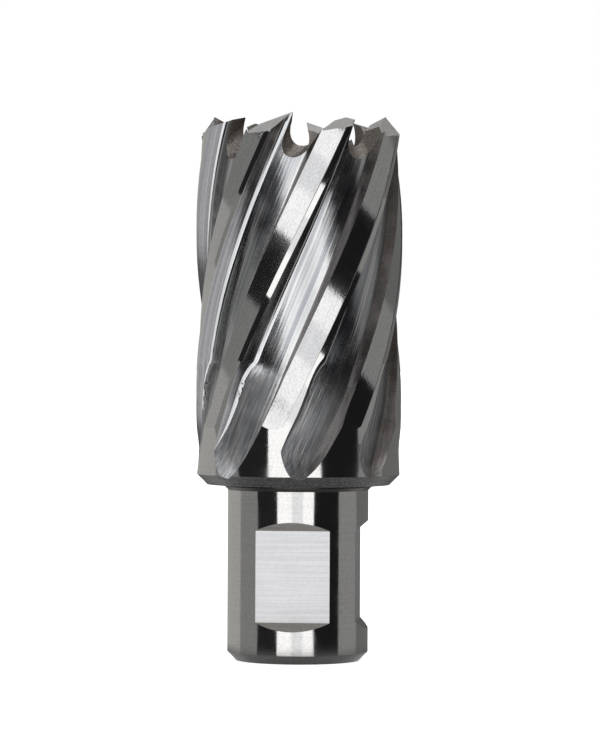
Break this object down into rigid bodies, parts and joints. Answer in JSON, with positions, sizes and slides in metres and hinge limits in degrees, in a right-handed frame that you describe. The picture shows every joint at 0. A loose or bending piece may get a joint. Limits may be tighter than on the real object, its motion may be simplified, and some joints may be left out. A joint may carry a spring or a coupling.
{
  "type": "annular cutter",
  "caption": "Hollow hole cutter with helical ground flutes, alternating staggered teeth, a stepped collar and a straight shank with clamping flats.",
  "frame": {"origin": "centre of the shank's end face", "axes": "+Z along the axis from the shank to the teeth, -Y out of the first clamping flat, +X out of the second one"},
  "size_m": [0.0278, 0.0278, 0.0735],
  "materials": {
    "ground_steel": "ground and polished tool steel"
  },
  "bodies": {
    "root": {"cutter_body": "ground_steel"}
  },
  "joints": []
}
